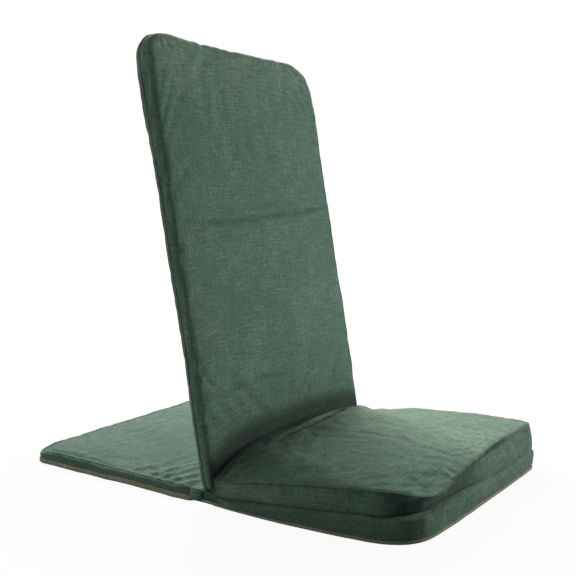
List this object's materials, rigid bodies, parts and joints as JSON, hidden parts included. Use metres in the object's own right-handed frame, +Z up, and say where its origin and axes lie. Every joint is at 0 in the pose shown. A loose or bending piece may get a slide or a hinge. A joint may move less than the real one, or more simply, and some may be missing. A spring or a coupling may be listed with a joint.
{
  "type": "folding floor chair",
  "caption": "Floor chair with a canvas-covered seat cushion, a tall reclined backrest that folds forward onto it and a flat rear panel that folds under the seat.",
  "frame": {"origin": "on the floor, in the middle of the chair's width, where the back of the backrest meets the floor", "axes": "+Z up, +Y towards the rear panel, so the chair faces -Y, +X to the right of someone facing it"},
  "size_m": [0.47, 0.753, 0.7169],
  "materials": {
    "green_canvas": "matte woven cotton canvas",
    "webbing": "flat woven webbing",
    "foam": "open-cell upholstery foam",
    "steel_tube": "black powder coat",
    "steel_plate": "black powder coat",
    "zinc_fastener": "bright zinc",
    "nylon": "moulded nylon",
    "rubber_block": "moulded rubber"
  },
  "bodies": {
    "seat": {"seat_frame": "steel_tube", "seat_cross_rail": "steel_tube", "seat_hinge_plugs": "nylon", "stop_bar": "steel_plate", "hinge_ear_left": "steel_plate", "hinge_ear_right": "steel_plate", "ear_rivets": "zinc_fastener", "pivot_bolts": "zinc_fastener", "pivot_washers": "zinc_fastener", "pivot_nuts": "zinc_fastener", "seat_foam": "foam", "seat_cover": "green_canvas"},
    "backrest": {"backrest_frame": "steel_tube", "backrest_lower_rail": "steel_tube", "backrest_mid_rail": "steel_tube", "pivot_bushes": "nylon", "leg_plugs": "nylon", "leg_bumpers": "rubber_block", "backrest_foam": "foam", "backrest_cover": "green_canvas", "closure_tabs": "webbing"},
    "hinge_links": {"link_plate_left": "steel_plate", "link_plate_right": "steel_plate", "link_pins": "zinc_fastener"},
    "rear_panel": {"rear_frame": "steel_tube", "rear_cross_rail": "steel_tube", "rear_hinge_plugs": "nylon", "rear_cover": "green_canvas"}
  },
  "joints": [
    {"name": "back_fold", "type": "hinge", "parent": "seat", "child": "backrest", "pos_m": [0, 0.00828, 0.0986], "axis": [1, 0, 0], "range_deg": [0, 100]},
    {"name": "link_fold", "type": "hinge", "parent": "seat", "child": "hinge_links", "pos_m": [0, 0.0025, 0.0095], "axis": [1, 0, 0], "range_deg": [-90, 0]},
    {"name": "rear_fold", "type": "hinge", "parent": "hinge_links", "child": "rear_panel", "pos_m": [0, 0.0235, 0.0095], "axis": [1, 0, 0], "range_deg": [-90, 0]}
  ]
}
